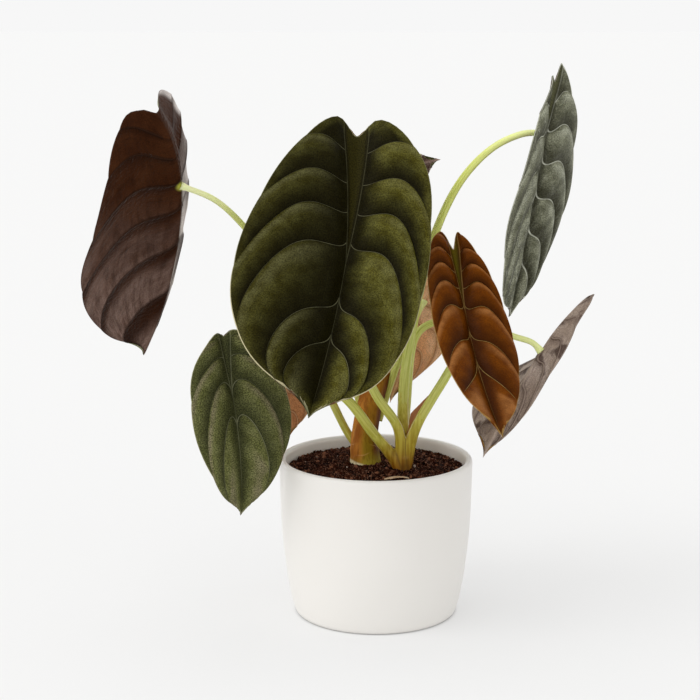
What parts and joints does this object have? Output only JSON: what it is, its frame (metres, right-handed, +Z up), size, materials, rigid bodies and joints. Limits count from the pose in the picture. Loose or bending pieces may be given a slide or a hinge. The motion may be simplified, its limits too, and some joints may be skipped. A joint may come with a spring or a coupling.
{
  "type": "potted red secret alocasia",
  "caption": "Aroid house plant with large quilted shield-shaped leaves on slim arching stems, growing in a round ceramic pot of soil.",
  "frame": {"origin": "centre of the round underside of the pot, in the plane that the pot stands on", "axes": "+Z up along the axis of the pot, -Y towards the front with the largest leaf, +X to the right of the front"},
  "size_m": [0.3447, 0.2319, 0.3797],
  "materials": {
    "pot_glaze": "warm white satin glaze",
    "potting_soil": "dark reddish brown crumbly potting mix",
    "dry_sheath": "dry tan leaf sheath",
    "old_stem": "orange brown old stem with dry sheaths and olive streaks",
    "crown_stem": "smooth living stem, olive to yellow green",
    "green_stem": "smooth yellow green leaf stem",
    "olive_leaf": "dark olive metallic sheen with sunken veins",
    "copper_leaf": "copper brown with a soft metallic sheen",
    "maroon_leaf": "matte dark maroon brown underside"
  },
  "bodies": {
    "root": {"pot": "pot_glaze", "soil": "potting_soil", "bark_scrap": "dry_sheath", "rear_pseudostem": "old_stem", "front_crown": "crown_stem", "leaf_front_large": "olive_leaf", "petiole_front_large": "green_stem", "leaf_left": "maroon_leaf", "petiole_left": "green_stem", "leaf_lower_left": "olive_leaf", "petiole_lower_left": "green_stem", "leaf_top_right": "olive_leaf", "petiole_top_right": "green_stem", "leaf_right_copper": "copper_leaf", "petiole_right_copper": "green_stem", "leaf_far_right": "maroon_leaf", "petiole_far_right": "green_stem", "leaf_rear_lower": "copper_leaf", "petiole_rear_lower": "green_stem", "leaf_rear_upper": "maroon_leaf", "petiole_rear_upper": "green_stem", "leaf_rear_left": "copper_leaf", "petiole_rear_left": "green_stem"}
  },
  "joints": []
}
